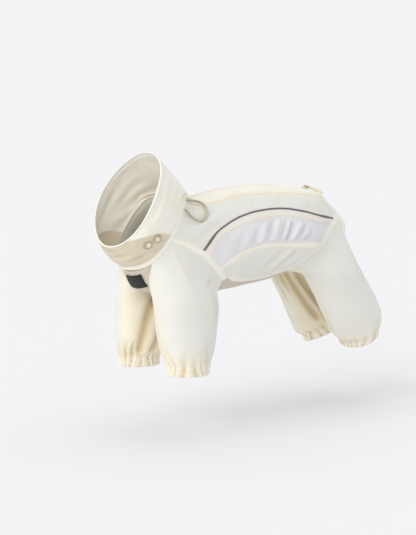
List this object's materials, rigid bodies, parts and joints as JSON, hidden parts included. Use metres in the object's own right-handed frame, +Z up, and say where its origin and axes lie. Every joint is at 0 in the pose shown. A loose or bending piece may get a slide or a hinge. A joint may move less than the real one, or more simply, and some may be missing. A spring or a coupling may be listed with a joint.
{
  "type": "dog bodysuit with hood",
  "caption": "Hollow four-leg dog bodysuit with a raised snood hood, full back zip, mesh side panels, taped seams, gathered elastic cuffs and an open rear.",
  "frame": {"origin": "at the withers of the wearer, where the neck seam crosses the spine", "axes": "+Z up, head towards -X, tail towards +X, the wearer's left towards -Y"},
  "size_m": [0.4818, 0.1602, 0.2923],
  "materials": {
    "shell_cloth": "thin plain-weave nylon, slight sheen",
    "cream_tape": "matte knitted tape",
    "collar_cloth": "soft knit",
    "mesh_cloth": "fine warp-knit mesh",
    "mesh_edge": "plain weave, matte",
    "underside_cloth": "soft airy knit, matte",
    "piping_cord": "reflective piping, satin",
    "zip_teeth": "moulded coil teeth",
    "label_patch": "woven patch, bare",
    "nape_braid": "round braid",
    "snap_cap": "moulded cap",
    "slider_metal": "satin metal",
    "pull_tab": "soft moulded tab"
  },
  "bodies": {
    "garment": {"back_band_left": "cream_tape", "back_band_right": "cream_tape", "belly_panel": "underside_cloth", "belly_tape_left": "cream_tape", "belly_tape_right": "cream_tape", "chest_label": "label_patch", "chest_panel": "underside_cloth", "front_cuff_left": "cream_tape", "front_cuff_right": "cream_tape", "front_sleeve_left": "shell_cloth", "front_sleeve_right": "shell_cloth", "hind_cuff_left": "cream_tape", "hind_cuff_right": "cream_tape", "hind_leg_left": "shell_cloth", "hind_leg_right": "shell_cloth", "hip_tape_left": "cream_tape", "hip_tape_right": "cream_tape", "hood_rim_binding": "cream_tape", "hood_seam_tape": "cream_tape", "hood_side_left": "shell_cloth", "hood_side_right": "shell_cloth", "lower_side_left": "shell_cloth", "lower_side_right": "shell_cloth", "mesh_border_left": "mesh_edge", "mesh_border_right": "mesh_edge", "mesh_panel_left": "mesh_cloth", "mesh_panel_right": "mesh_cloth", "mid_tape_left": "cream_tape", "mid_tape_right": "cream_tape", "nape_cord": "nape_braid", "neck_tape": "cream_tape", "piping_left": "piping_cord", "piping_right": "piping_cord", "raglan_tape_left": "cream_tape", "raglan_tape_right": "cream_tape", "rear_binding": "cream_tape", "snap_1_left": "snap_cap", "snap_1_right": "snap_cap", "snap_2_left": "snap_cap", "snap_2_right": "snap_cap", "throat_collar": "collar_cloth", "upper_side_left": "shell_cloth", "upper_side_right": "shell_cloth", "zip_chain": "zip_teeth", "zip_slider": "slider_metal", "zip_tape_left": "cream_tape", "zip_tape_right": "cream_tape"},
    "pull": {"zip_pull": "pull_tab"}
  },
  "joints": [
    {"name": "pull_swing", "type": "hinge", "parent": "garment", "child": "pull", "pos_m": [0.23194, 0, 0.01475], "axis": [0, -1, 0], "range_deg": [0, 150]}
  ]
}
